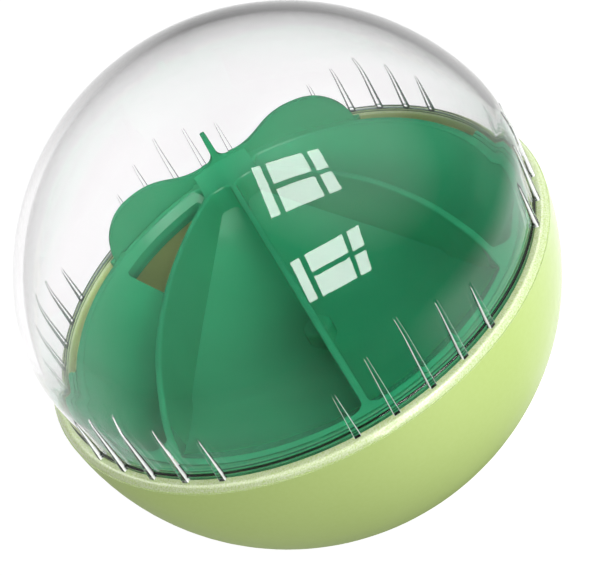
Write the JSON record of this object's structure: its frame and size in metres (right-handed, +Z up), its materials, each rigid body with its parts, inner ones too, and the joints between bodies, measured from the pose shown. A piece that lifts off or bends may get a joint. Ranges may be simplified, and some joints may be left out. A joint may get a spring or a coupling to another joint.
{
  "type": "wobble treat ball",
  "caption": "Roly-poly treat dispenser: weighted green bowl and clear ribbed dome form a ball around a turning divided maze tray, with a gate below it and two side outlets.",
  "frame": {"origin": "middle of the bowl's flat foot, on the surface the ball stands on", "axes": "+Z up along the ball's axis through the dome's crown; the tray's straight divider runs along Y and its back panel stands at +Y; the outlets face +X and -X"},
  "size_m": [0.15, 0.15, 0.1485],
  "materials": {
    "light_green": "satin light green moulding",
    "dark_green": "gloss dark green moulding",
    "green": "gloss green moulding",
    "clear": "clear polished",
    "steel": "zinc plated",
    "screw_steel": "zinc plated",
    "washer_white": "natural nylon"
  },
  "bodies": {
    "base": {"base_bowl": "light_green", "counterweight": "steel", "weight_cover": "light_green", "cover_screws": "screw_steel", "gate_bowl": "dark_green", "gate_screws": "screw_steel"},
    "tray": {"maze_tray": "green", "pivot_washer": "washer_white", "pivot_screw": "screw_steel"},
    "dome": {"clear_dome": "clear"}
  },
  "joints": [
    {"name": "tray_turn", "type": "hinge", "parent": "base", "child": "tray", "pos_m": [0, 0, 0.04748], "axis": [0, 0, 1], "range_deg": [0, 40]},
    {"name": "dome_lift", "type": "slide", "parent": "base", "child": "dome", "axis": [0, 0, 1], "range_m": [0, 0.08]}
  ]
}
